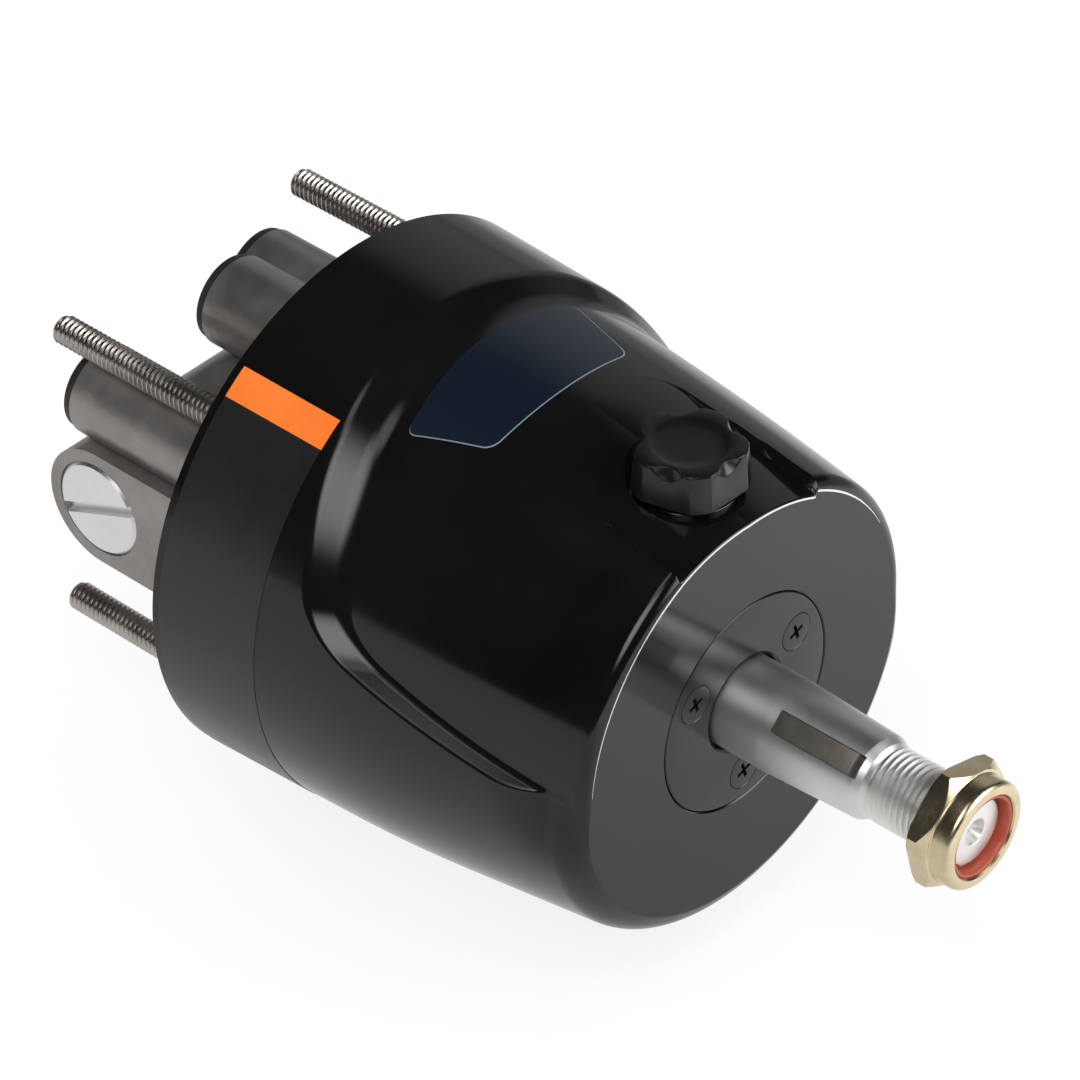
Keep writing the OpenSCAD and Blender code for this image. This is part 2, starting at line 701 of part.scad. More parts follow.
module valve_seats() color(steel) lay() mirror_pair()
    sideways(seat_x) tube(seat_r, seat_hole_r, seat_t);

module poppet() difference() {
    union() {
        sideways(poppet_x - e) cylinder(h = poppet_end - poppet_x + e, r = poppet_r);
        sideways(nose_x) cylinder(h = poppet_x - nose_x, r1 = nose_r, r2 = poppet_r);
    }
    sideways(24) cylinder(h = 20, r = valve_spring_r + 0.1);
}
module right_poppet() color(steel) lay() poppet();
module left_poppet() color(steel) lay() mirror([1, 0, 0]) poppet();

module valve_spring() sideways(24) tube(valve_spring_r, valve_spring_r - 0.9, plug_cup_end - 24);
module right_spring() color(steel) lay() valve_spring();
module left_spring() color(steel) lay() mirror([1, 0, 0]) valve_spring();

module plug() difference() {
    union() {
        sideways(chamber_end) cylinder(h = head_x - chamber_end + e, r = plug_r);
        sideways(head_x) cylinder(h = 3, r = plug_head_r);
        sideways(head_x + 3 - e) cylinder(h = 0.8, r1 = plug_head_r, r2 = plug_head_r - 0.8);
    }
    sideways(chamber_end - 1) cylinder(h = plug_cup_end - chamber_end + 1, r = poppet_r + slide_fit);
    sideways(plug_ring_x - 1.2) tube(plug_r + 1, plug_r - 2 * plug_ring_r, 2.4);
    translate([head_x + 3.8 - 1.6, 0, -valve_back]) rotate([-plug_slot_turn, 0, 0])
        translate([0, -1.2, -15]) cube([5, 2.4, 30]);
}
module right_plug() color(alloy) lay() plug();
module left_plug() color(alloy) lay() mirror([1, 0, 0]) plug();

module plug_orings() color(rubber) lay() mirror_pair()
    sideways(plug_ring_x) ring(plug_r - plug_ring_r, plug_ring_r);

module port_caps() color(black) lay() port_places() {
    from(-port_cap_t) cylinder(h = port_cap_t, r = boss_d / 2 - 0.5);
    from(-e) cylinder(h = port_cap_plug, r = port_bore_d / 2 - 0.04);
}

module filler_cap() color(black) lay() upward() translate([0, 0, cap_seat_up + cap_lift]) difference() {
    union() {
        cylinder(h = cap_h - 1.6, r = cap_r);
        from(cap_h - 1.6 - e) cylinder(h = 1.6 + e, r1 = cap_r, r2 = cap_r - 1.6);
        from(-cap_stem_len) cylinder(h = cap_stem_len + 1, r = cap_stem_r);
    }
    around(cap_hollows, cap_r + 6, 30) from(-1) cylinder(h = cap_h + 2, r = 8);
    from(cap_h - 1) cylinder(h = 2, r = cap_r - 3.5);
    from(-1) tube(cap_ring_mid + cap_ring_r + 0.3, cap_stem_r, 1 + 2 * cap_ring_r - cap_lift + 0.1);
}

module cap_oring() color(rubber) lay() upward() translate([0, 0, cap_seat_up + cap_ring_r])
    ring(cap_ring_mid, cap_ring_r);

// Draw
front_housing();
rear_body();
housing_oring();
housing_screws();
mounting_studs();
seal_plate();
seal_plate_screws();
shaft_seal();
bearing_outer_ring();
bearing_inner_ring();
bearing_balls_set();
bearing_cage();
wheel_shaft();
shaft_key();
wheel_nut();
nut_insert();
fixed_race();
thrust_race();
thrust_balls();
thrust_cage();
rotor();
pistons();
piston_springs();
drive_pin();
rotor_clip();
port_plate();
plate_dowels();
rear_bush();
shuttle_spool();
valve_seats();
left_poppet();
right_poppet();
left_spring();
right_spring();
left_plug();
right_plug();
plug_orings();
port_caps();
filler_cap();
cap_oring();
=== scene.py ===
import json
import math

import bmesh
import bpy
import numpy as np
from mathutils import Matrix, Vector

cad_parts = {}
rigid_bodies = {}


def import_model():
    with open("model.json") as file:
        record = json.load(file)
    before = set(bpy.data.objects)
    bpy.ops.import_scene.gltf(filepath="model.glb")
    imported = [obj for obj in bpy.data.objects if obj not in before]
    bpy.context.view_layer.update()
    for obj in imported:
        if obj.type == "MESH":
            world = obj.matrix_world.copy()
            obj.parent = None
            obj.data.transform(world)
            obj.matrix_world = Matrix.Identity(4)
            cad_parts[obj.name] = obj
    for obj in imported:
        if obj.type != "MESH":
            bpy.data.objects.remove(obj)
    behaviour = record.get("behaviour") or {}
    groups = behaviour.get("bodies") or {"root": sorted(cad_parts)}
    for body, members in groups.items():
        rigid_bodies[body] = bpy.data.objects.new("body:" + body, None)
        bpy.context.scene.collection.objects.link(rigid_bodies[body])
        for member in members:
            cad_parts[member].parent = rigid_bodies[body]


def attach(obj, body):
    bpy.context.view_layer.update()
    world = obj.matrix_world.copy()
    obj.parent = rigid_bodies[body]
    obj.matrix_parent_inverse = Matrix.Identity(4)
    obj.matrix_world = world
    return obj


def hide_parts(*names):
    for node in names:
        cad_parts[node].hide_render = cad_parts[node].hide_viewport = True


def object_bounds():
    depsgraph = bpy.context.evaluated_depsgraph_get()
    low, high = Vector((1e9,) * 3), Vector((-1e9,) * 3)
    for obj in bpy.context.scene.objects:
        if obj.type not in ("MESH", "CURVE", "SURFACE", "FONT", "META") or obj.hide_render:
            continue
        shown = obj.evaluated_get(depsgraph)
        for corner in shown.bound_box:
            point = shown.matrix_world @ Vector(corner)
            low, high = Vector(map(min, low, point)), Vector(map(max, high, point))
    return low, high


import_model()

cad_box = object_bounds()

# Sizes are in millimetres and places are (right, up, forward): forward runs
# along the wheel shaft, away from the dash. place() turns them into metres.
MM = 0.001
DRUM_R = 60.0
FACE_F = 104.0
FACE_R = 46.5
CAP_F = 88.4
CAP_SEAT_R = 12.3
SEAT_UP = 46.4
STUD_AT = 34.6


def place(right, up, forward):
    return np.stack(np.broadcast_arrays(
        np.asarray(right, float), -np.asarray(forward, float), np.asarray(up, float)), -1) * MM


# ---------------------------------------------------------------- meshes

def shade(mesh, angle=35.0):
    """Smooth shading with sharp edges where the faces turn by more than angle."""
    bm = bmesh.new()
    bm.from_mesh(mesh)
    bmesh.ops.recalc_face_normals(bm, faces=bm.faces)
    limit = math.radians(angle)
    for face in bm.faces:
        face.smooth = True
    for edge in bm.edges:
        edge.smooth = len(edge.link_faces) != 2 or edge.calc_face_angle(0.0) < limit
    bm.to_mesh(mesh)
    bm.free()


def piece(name, points, faces, body, slot, material, replaces=(), angle=35.0, weld=2e-6):
    mesh = bpy.data.meshes.new(name)
    mesh.from_pydata([tuple(p) for p in points], [], [tuple(f) for f in faces])
    bm = bmesh.new()
    bm.from_mesh(mesh)
    bmesh.ops.remove_doubles(bm, verts=bm.verts, dist=weld)
    bmesh.ops.dissolve_degenerate(bm, edges=bm.edges, dist=weld * 0.5)
    bm.to_mesh(mesh)
    bm.free()
    shade(mesh, angle)
    return dress(name, mesh, body, material, replaces)


def dress(name, mesh, body, material, replaces=()):
    item = bpy.data.objects.new(name, mesh)
    bpy.context.scene.collection.objects.link(item)
    mesh.materials.clear()
    mesh.materials.append(material)
    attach(item, body)
    if replaces:
        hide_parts(*replaces)
    return item


def grid_faces(rows, columns, wrap=True):
    faces = []
    for i in range(rows - 1):
        for j in range(columns if wrap else columns - 1):
            k = (j + 1) % columns
            faces.append((i * columns + j, i * columns + k, (i + 1) * columns + k, (i + 1) * columns + j))
    return faces


def turned(profile, axis="forward", at=(0.0, 0.0, 0.0), segments=96):
    """Points and faces of a turned shape; profile holds (radius, station) pairs."""
    turn = np.arange(segments) * 2 * math.pi / segments
    points = []
    for radius, station in profile:
        a, b = radius * np.cos(turn), radius * np.sin(turn)
        s = np.full(segments, float(station))
        if axis == "forward":
            points.append(place(at[0] + a, at[1] + b, at[2] + s))
        elif axis == "up":
            points.append(place(at[0] + a, at[1] + s, at[2] - b))
        else:
            points.append(place(at[0] + s, at[1] + a, at[2] + b))
    return np.concatenate(points), grid_faces(len(profile), segments)


def rounded(corners, radii, steps=5):
    """A profile with its inner corners rounded; radii gives one radius per corner."""
    out = []
    for i, (corner, radius) in enumerate(zip(corners, radii)):
        if radius <= 0 or i in (0, len(corners) - 1):
            out.append(tuple(corner))
            continue
        p, a, b = (np.array(q, float) for q in (corner, corners[i - 1], corners[i + 1]))
        u, v = (a - p) / np.linalg.norm(a - p), (b - p) / np.linalg.norm(b - p)
        half = math.acos(max(-1.0, min(1.0, float(u @ v)))) / 2
        reach = min(radius / math.tan(half), 0.48 * np.linalg.norm(a - p), 0.48 * np.linalg.norm(b - p))
        radius = reach * math.tan(half)
        centre = p + (u + v) / np.linalg.norm(u + v) * radius / math.sin(half)
        start, end = p + u * reach - centre, p + v * reach - centre
        sweep = math.atan2(start[0] * end[1] - start[1] * end[0], float(start @ end))
        for k in range(steps + 1):
            t = sweep * k / steps
            out.append((centre[0] + start[0] * math.cos(t) - start[1] * math.sin(t),
                        centre[1] + start[0] * math.sin(t) + start[1] * math.cos(t)))
    return out


def raw(name, points, faces):
    mesh = bpy.data.meshes.new(name)
    mesh.from_pydata([tuple(p) for p in points], [], [tuple(f) for f in faces])
    bm = bmesh.new()
    bm.from_mesh(mesh)
    bmesh.ops.remove_doubles(bm, verts=bm.verts, dist=2e-6)
    bmesh.ops.holes_fill(bm, edges=[e for e in bm.edges if len(e.link_faces) == 1], sides=0)
    bmesh.ops.recalc_face_normals(bm, faces=bm.faces)
    bm.to_mesh(mesh)
    bm.free()
    return mesh


def block(size, centre, turn=None):
    """A box mesh; size and centre are (right, up, forward), turn a matrix about centre."""
    points = []
    for a in (-0.5, 0.5):
        for b in (-0.5, 0.5):
            for c in (-0.5, 0.5):
                v = Vector((a * size[0], b * size[1], c * size[2]))
                v = turn @ v if turn is not None else v
                points.append(place(centre[0] + v[0], centre[1] + v[1], centre[2] + v[2]))
    faces = [(0, 1, 3, 2), (4, 6, 7, 5), (0, 4, 5, 1), (2, 3, 7, 6), (0, 2, 6, 4), (1, 5, 7, 3)]
    return points, faces


def cut(mesh, cutters, operation="DIFFERENCE"):
    """The mesh after boolean operations with each cutter mesh."""
    item = bpy.data.objects.new("work", mesh)
    bpy.context.scene.collection.objects.link(item)
    tools = []
    for cutter in cutters:
        tool = bpy.data.objects.new("tool", cutter)
        bpy.context.scene.collection.objects.link(tool)
        step = item.modifiers.new("cut", "BOOLEAN")
        step.operation = operation
        step.solver = "EXACT"
        step.object = tool
        tools.append(tool)
    bpy.context.view_layer.update()
    done = bpy.data.meshes.new_from_object(item.evaluated_get(bpy.context.evaluated_depsgraph_get()))
    for tool in tools + [item]:
        bpy.data.objects.remove(tool)
    return done


def joined(parts):
    points, faces = [], []
    for some_points, some_faces in parts:
        start = len(points)
        points.extend(tuple(p) for p in some_points)
        faces.extend(tuple(start + i for i in f) for f in some_faces)
    return points, faces


def thread(start, end, radius, depth, pitch, segments=28, lead=0.7):
    """Points (radius, turn, station) and faces of a right-hand thread that runs down to its root at both ends,
    where the caller closes it.
    lead is the chamfer at the end."""
    per_turn = 4
    shape = [(0.0, 0.0), (0.16, 0.0), (0.5, 1.0), (0.66, 1.0)]
    turns = int(math.ceil((end - start) / pitch)) + 2
    rows = []
    for t in range(turns):
        for part, dip in shape:
            rows.append((start - pitch + (t + part) * pitch, dip))
    ring = np.arange(segments)
    points = []
    for station, dip in rows:
        s = station + pitch * ring / segments
        r = np.full(segments, radius - depth * dip)
        r = np.minimum(r, radius - lead + np.maximum(0, end - s))
        r = np.where((s <= start) | (s >= end), radius - max(depth, lead), r)
        points.append(np.stack([r, 2 * math.pi * ring / segments, np.clip(s, start, end)], -1))
    points = np.concatenate(points)
    faces = []
    count = len(rows)
    for i in range(count - 1):
        for j in range(segments):
            k, lift = (j + 1, 0) if j + 1 < segments else (0, per_turn)
            low, high = min(count - 1, i + lift), min(count - 1, i + 1 + lift)
            if low == high:
                continue
            faces.append((i * segments + j, low * segments + k, high * segments + k, (i + 1) * segments + j))
    return points, faces


# ------------------------------------------------------------- materials

def group(name, inputs, outputs):
    tree = bpy.data.node_groups.new(name, "ShaderNodeTree")
    for label, value in inputs.items():
        kind = "NodeSocketColor" if isinstance(value, tuple) else "NodeSocketFloat"
        tree.interface.new_socket(label, in_out="INPUT", socket_type=kind).default_value = value
    for label, kind in outputs.items():
        tree.interface.new_socket(label, in_out="OUTPUT", socket_type=kind)
    return tree, tree.nodes.new("NodeGroupInput"), tree.nodes.new("NodeGroupOutput")


def node(tree, kind, **settings):
    made = tree.nodes.new(kind)
    for key, value in settings.items():
        setattr(made, key, value)
    return made


def set_inputs(made, **values):
    """Input values by socket name, with _ for a space."""
    for key, value in values.items():
        made.inputs[key.replace("_", " ")].default_value = value


def grain_group():
    """Fine mottling: a height and a mask from two sizes of noise."""
    tree, inputs, outputs = group("fine grain", {"Scale": 900.0, "Patch Scale": 60.0},
                                  {"Height": "NodeSocketFloat", "Patches": "NodeSocketFloat"})
    where = node(tree, "ShaderNodeTexCoord")
    fine = node(tree, "ShaderNodeTexNoise")
    set_inputs(fine, Detail=4.0)
    patches = node(tree, "ShaderNodeTexNoise")
    set_inputs(patches, Detail=5.0, Roughness=0.6)
    for noise, label in ((fine, "Scale"), (patches, "Patch Scale")):
        tree.links.new(where.outputs["Object"], noise.inputs["Vector"])
        tree.links.new(inputs.outputs[label], noise.inputs["Scale"])
    tree.links.new(fine.outputs["Fac"], outputs.inputs["Height"])
    tree.links.new(patches.outputs["Fac"], outputs.inputs["Patches"])
    return tree


def turning_group():
    """Lines left by turning: a height that only changes along one axis."""
    defaults = {"Along X": 0.0, "Along Y": 1.0, "Along Z": 0.0, "Scale": 2500.0}
    tree, inputs, outputs = group("turning lines", defaults, {"Height": "NodeSocketFloat"})
    where = node(tree, "ShaderNodeTexCoord")
    split = node(tree, "ShaderNodeSeparateXYZ")
    tree.links.new(where.outputs["Object"], split.inputs[0])
    total = None
    for label, axis in (("Along X", "X"), ("Along Y", "Y"), ("Along Z", "Z")):
        part = node(tree, "ShaderNodeMath", operation="MULTIPLY")
        tree.links.new(split.outputs[axis], part.inputs[0])
        tree.links.new(inputs.outputs[label], part.inputs[1])
        if total is None:
            total = part
        else:
            both = node(tree, "ShaderNodeMath", operation="ADD")
            tree.links.new(total.outputs[0], both.inputs[0])
            tree.links.new(part.outputs[0], both.inputs[1])
            total = both
    noise = node(tree, "ShaderNodeTexNoise", noise_dimensions="1D")
    noise.inputs["Detail"].default_value = 3.0
    tree.links.new(total.outputs[0], noise.inputs["W"])
    tree.links.new(inputs.outputs["Scale"], noise.inputs["Scale"])
    tree.links.new(noise.outputs["Fac"], outputs.inputs["Height"])
    return tree


GRAIN = grain_group()
TURNING = turning_group()


def finish(name, dark, light, rough, metal=0.0, scale=900.0, patch=60.0, bump=0.02,
           rough_spread=0.06, turning=None, turning_scale=2500.0, turning_bump=0.0):
    """A material whose colour and roughness vary in patches, with fine grain or turning lines in its bump."""
    material = bpy.data.materials.new(name)
    material.use_nodes = True
    tree = material.node_tree
    shader = tree.nodes["Principled BSDF"]
    shader.inputs["Metallic"].default_value = metal
    grain = node(tree, "ShaderNodeGroup", node_tree=GRAIN)
    set_inputs(grain, Scale=scale, Patch_Scale=patch)
    ramp = node(tree, "ShaderNodeValToRGB")
    ramp.color_ramp.elements[0].position = 0.3
    ramp.color_ramp.elements[1].position = 0.7
    ramp.color_ramp.elements[0].color = (*dark, 1)
    ramp.color_ramp.elements[1].color = (*light, 1)
    tree.links.new(grain.outputs["Patches"], ramp.inputs["Fac"])
    tree.links.new(ramp.outputs["Color"], shader.inputs["Base Color"])
    spread = node(tree, "ShaderNodeMapRange")
    set_inputs(spread, From_Min=0.3, From_Max=0.7, To_Min=max(0.02, rough - rough_spread),
               To_Max=min(1.0, rough + rough_spread))
    tree.links.new(grain.outputs["Patches"], spread.inputs["Value"])
    tree.links.new(spread.outputs["Result"], shader.inputs["Roughness"])
    height = node(tree, "ShaderNodeBump")
    set_inputs(height, Strength=1.0, Distance=bump * MM)
    tree.links.new(grain.outputs["Height"], height.inputs["Height"])
    last = height
    if turning is not None:
        lines = node(tree, "ShaderNodeGroup", node_tree=TURNING)
        for label, value in zip(("Along X", "Along Y", "Along Z"), turning):
            lines.inputs[label].default_value = value
        lines.inputs["Scale"].default_value = turning_scale
        ridge = node(tree, "ShaderNodeBump")
        set_inputs(ridge, Strength=1.0, Distance=turning_bump * MM)
        tree.links.new(lines.outputs["Height"], ridge.inputs["Height"])
        tree.links.new(height.outputs["Normal"], ridge.inputs["Normal"])
        last = ridge
    tree.links.new(last.outputs["Normal"], shader.inputs["Normal"])
    return material


HOUSING_PAINT = finish("black gloss paint", (0.0028, 0.0028, 0.003), (0.005, 0.005, 0.0055), 0.13,
                       scale=1400.0, patch=35.0, bump=0.0012, rough_spread=0.03)
FACE_PAINT = finish("satin black paint", (0.005, 0.005, 0.0055), (0.008, 0.008, 0.0085), 0.16,
                    scale=1400.0, patch=35.0, bump=0.003, rough_spread=0.03)
CAST_ALLOY = finish("cast alloy", (0.27, 0.252, 0.24), (0.38, 0.358, 0.343), 0.37, metal=0.85,
                    scale=700.0, patch=90.0, bump=0.09, rough_spread=0.08)
PLUG_ALLOY = finish("turned alloy", (0.86, 0.86, 0.85), (0.93, 0.93, 0.92), 0.34, metal=1.0,
                    scale=1500.0, patch=120.0, bump=0.004, rough_spread=0.05)
STUD_STEEL = finish("stud steel", (0.44, 0.41, 0.38), (0.62, 0.59, 0.55), 0.27, metal=1.0,
                    scale=1200.0, patch=160.0, bump=0.006, rough_spread=0.05)
SHAFT_STEEL = finish("shaft steel", (0.78, 0.785, 0.79), (0.87, 0.875, 0.88), 0.42, metal=1.0,
                     scale=1500.0, patch=90.0, bump=0.002, rough_spread=0.04,
                     turning=(0.0, 1.0, 0.0), turning_scale=3500.0, turning_bump=0.004)
KEY_STEEL = finish("key steel", (0.22, 0.20, 0.175), (0.33, 0.31, 0.27), 0.45, metal=0.9,
                   scale=1800.0, patch=150.0, bump=0.01, rough_spread=0.08)
NUT_PLATE = finish("yellow zinc plating", (0.66, 0.53, 0.30), (0.86, 0.77, 0.56), 0.26, metal=1.0,
                   scale=1500.0, patch=110.0, bump=0.004, rough_spread=0.06)
INSERT_RED = finish("red nylon", (0.36, 0.055, 0.03), (0.45, 0.08, 0.045), 0.38, scale=1200.0,
                    patch=150.0, bump=0.006)
CAP_PLASTIC = finish("cap plastic", (0.004, 0.004, 0.0043), (0.008, 0.008, 0.0088), 0.26,
                     scale=1600.0, patch=90.0, bump=0.004, rough_spread=0.05)
PORT_PLASTIC = finish("port cap plastic", (0.008, 0.008, 0.008), (0.02, 0.02, 0.02), 0.5,
                      scale=900.0, patch=90.0, bump=0.02)
RUBBER = finish("black rubber", (0.012, 0.012, 0.012), (0.02, 0.02, 0.02), 0.7, bump=0.01)
SCREW_BLACK = finish("black screw", (0.006, 0.006, 0.006), (0.014, 0.014, 0.014), 0.32,
                     scale=1600.0, patch=160.0, bump=0.01)
DARK_STEEL = finish("dark steel", (0.10, 0.095, 0.09), (0.17, 0.165, 0.155), 0.4, metal=1.0,
                    scale=1500.0, patch=120.0, bump=0.01)
BEARING_STEEL = finish("bearing steel", (0.60, 0.60, 0.61), (0.68, 0.68, 0.69), 0.15, metal=1.0,
                       scale=1500.0, patch=80.0, bump=0.001)
SPRING_STEEL = finish("spring steel", (0.38, 0.38, 0.39), (0.48, 0.48, 0.49), 0.3, metal=1.0,
                      scale=1500.0, patch=120.0, bump=0.002)
BRONZE = finish("bronze", (0.50, 0.31, 0.13), (0.60, 0.39, 0.18), 0.3, metal=1.0, scale=1500.0,
                patch=70.0, bump=0.003)
PUMP_IRON = finish("machined iron", (0.22, 0.22, 0.225), (0.30, 0.30, 0.31), 0.35, metal=1.0,
                   scale=1200.0, patch=60.0, bump=0.004)
PLATE_FILM = finish("bare name film", (0.003, 0.0078, 0.016), (0.004, 0.0095, 0.0195), 0.28,
                    scale=1500.0, patch=40.0, bump=0.001, rough_spread=0.02)
PALE_LINE = finish("pale line", (0.16, 0.2, 0.26), (0.2, 0.25, 0.32), 0.4, bump=0.001)
ORANGE_FILM = finish("orange film", (0.80, 0.16, 0.01), (0.88, 0.19, 0.015), 0.38, bump=0.001)
DARK_FILM = finish("dark film", (0.011, 0.011, 0.012), (0.014, 0.014, 0.016), 0.3, bump=0.001)


# --------------------------------------------- shape of the front housing

LEAN = math.radians(18.0)
SHOULDER_F = 44.5
RAMP_FALL = 0.64
LEDGE_SIDE = 0.45
LEDGE_F1 = 96.0
NECK_EDGE = 1.6
NECK_ROUND = 2.5
RIM_ROUND = 5.5
PAD_HALF_W = 20.0
PAD_CORNER = 8.0
PAD_F = 62.0


def ledge_at(f):
    """Height of the side ledge's outer edge, falling fast at the shoulder and slower in front."""
    left = LEDGE_F1 - np.clip(f, 30.0, 104.0)
    return 2.0 + 0.1405 * left + 0.00204 * left * left


def neck_radius(f):
    s = FACE_F - NECK_EDGE - f
    return FACE_R + NECK_EDGE + 0.145 * s - 0.0006 * s * s


def wing_radius(f):
    return DRUM_R - 0.0385 * f - 0.54 * np.log1p(np.exp((f - 52.0) / 6.0))


def round_both(a, b, r):
    """Intersection of two solids with a rounded edge."""
    u, v = np.maximum(r + a, 0), np.maximum(r + b, 0)
    return np.minimum(-r, np.maximum(a, b)) + np.hypot(u, v)


def round_either(a, b, r):
    """Union of two solids with a filleted corner."""
    u, v = np.maximum(r - a, 0), np.maximum(r - b, 0)
    return np.maximum(r, np.minimum(a, b)) - np.hypot(u, v)


def housing_field(x, up, f, radius):
    """Negative inside the painted housing."""
    # The ramp falls away in front of the leaning shoulder line
    line = SHOULDER_F - up * math.tan(LEAN)
    ramp = (radius - wing_radius(line) + RAMP_FALL * (f - line)) / math.hypot(1, RAMP_FALL)
    tilt = np.arctan(LEDGE_SIDE)
    top = ledge_at(f) + LEDGE_SIDE * (wing_radius(f) - radius)
    above = (up - top) * np.cos(tilt)
    step = round_either(ramp, above, 4.5)
    # The wing comes in to the neck where the ledge ends
    close = np.clip((f - 84.0) / 12.5, 0, 1) ** 2 * np.clip((up + 16.0) / 18.0, 0, 1) ** 2
    outer = wing_radius(f) + (neck_radius(f) - 0.25 - wing_radius(f)) * np.clip(close, 0, 1)
    wing = round_both(radius - outer, f - FACE_F, RIM_ROUND)
    wing = round_both(wing, step, 0.5)
    neck = round_both(radius - neck_radius(f), f - FACE_F, NECK_ROUND)
    body = np.maximum(round_either(wing, neck, 1.0), f - FACE_F)
    # Flat on top
    dx, df = np.abs(x) - (PAD_HALF_W - PAD_CORNER), PAD_F + PAD_CORNER - f
    flat = np.hypot(np.maximum(dx, 0), np.maximum(df, 0)) + np.minimum(np.maximum(dx, df), 0) - PAD_CORNER
    flat = np.where(up < 0, 50.0, flat)
    cone = neck_radius(66.0) - (f - 66.0) * 0.211 + 0.08 * np.clip(-x, 0, 20)
    keep = round_either(-flat, radius - cone, 0.8)
    body = round_both(body, keep, 0.4)
    # Round seat of the filler cap
    away = np.hypot(x, f - CAP_F)
    away = np.where(up < 0, 80.0, away)
    keep = round_either(CAP_SEAT_R - away, up - SEAT_UP + 0.8, 0.2)
    return round_both(body, keep, 0.3)


def field_at(at):
    return housing_field(at[:, 0], at[:, 1], at[:, 2], np.hypot(at[:, 0], at[:, 1]))


def reach(start_r, start_f, dir_r, dir_f, turn, far=26.0):
    """Distance along rays in the half-plane at each turn to the housing's surface."""
    low, high = np.zeros_like(turn), np.full_like(turn, far)
    for _ in range(24):
        mid = (low + high) / 2
        r, f = start_r + dir_r * mid, start_f + dir_f * mid
        value = housing_field(r * np.cos(turn), r * np.sin(turn), f, r)
        inside = value < 0
        low, high = np.where(inside, mid, low), np.where(inside, high, mid)
    return (low + high) / 2


def housing_turns(f):
    """Turns of one row, up the right side and down the left, closer together at ledge and flat."""
    ledge = math.degrees(math.asin((float(ledge_at(max(f, 40.0))) + 0.9) / 54.5))
    flat = math.degrees(math.acos(PAD_HALF_W / (neck_radius(f) - 1.2)))
    knots = [-90, -30, ledge - 6, ledge - 2.4, ledge + 4.2, ledge + 9, flat - 3, flat + 3, 90]
    counts = [30, 30, 14, 54, 20, 60, 52, 56]
    half = [a + (b - a) * k / n for a, b, n in zip(knots, knots[1:], counts) for k in range(n)] + [90.0]
    return np.radians(np.array(half + [180.0 - t for t in half[-2:0:-1]]))


def housing_skin():
    rows = []
    for f in np.concatenate([np.arange(0, 22, 1.0), np.arange(22, 56, 0.5), np.arange(56, 97.7, 0.3)]):
        turn = housing_turns(f)
        r = 38.0 + reach(np.full_like(turn, 38.0), f, 1.0, 0.0, turn)
        if f == 0:
            r = np.full_like(turn, DRUM_R)
        rows.append((r, turn, np.full_like(turn, f)))
    tilts = np.concatenate([np.arange(2, 24, 2.0), np.arange(24, 56, 1.0), np.arange(56, 91, 2.0)])
    for tilt in np.radians(tilts):
        turn = housing_turns(98.0)
        start_r, start_f = 40.0, 97.6
        d = reach(np.full_like(turn, start_r), start_f, math.cos(tilt), math.sin(tilt), turn, 30.0)
        rows.append((start_r + d * math.cos(tilt), turn, start_f + d * math.sin(tilt)))
    turn = housing_turns(98.0)
    inside = [(37.5, FACE_F), (30.0, FACE_F), (24.35, FACE_F), (24.1, 103.75), (24.1, 101.4), (14.0, 101.4),
              (14.0, 94.4), (21.1, 94.4), (21.1, 85.3), (36.0, 85.3), (36.0, 97.0), (43.4, 97.0),
              (49.4, 45.0), (49.8, 14.2), (55.75, 14.2), (55.75, 0.35), (56.1, 0.0), (59.6, 0.0)]
    for r, f in inside:
        rows.append((np.full_like(turn, r), turn, np.full_like(turn, f)))
    points = np.concatenate([place(r * np.cos(t), r * np.sin(t), f) for r, t, f in rows])
    columns = len(turn)
    faces = grid_faces(len(rows), columns)
    faces += [((len(rows) - 1) * columns + j, (len(rows) - 1) * columns + (j + 1) % columns,
               (j + 1) % columns, j) for j in range(columns)]
    skin = piece("housing_skin", points, faces, "helm", "housing_paint", HOUSING_PAINT,
                 replaces=["front_housing"], angle=40.0)
    # Outside, the shading normals come straight from the shape
    mesh = skin.data
    at = np.array([v.co for v in mesh.vertices]) / MM
    at = np.stack([at[:, 0], at[:, 2], -at[:, 1]], -1)
    slope = np.stack([field_at(at + step) - field_at(at - step) for step in np.eye(3) * 0.02], -1)
    slope /= np.maximum(np.linalg.norm(slope, axis=1, keepdims=True), 1e-9)
    outside = (np.abs(field_at(at)) < 0.02) & (at[:, 2] > 0.5) & (np.hypot(at[:, 0], at[:, 1]) > 38.0)
    corners = np.array([c.vector for c in mesh.corner_normals])
    owner = np.array([loop.vertex_index for loop in mesh.loops])
    on = outside[owner]
    corners[on] = np.stack([slope[:, 0], -slope[:, 2], slope[:, 1]], -1)[owner[on]]
    mesh.normals_split_custom_set([tuple(c) for c in corners])
    return skin


housing_skin()


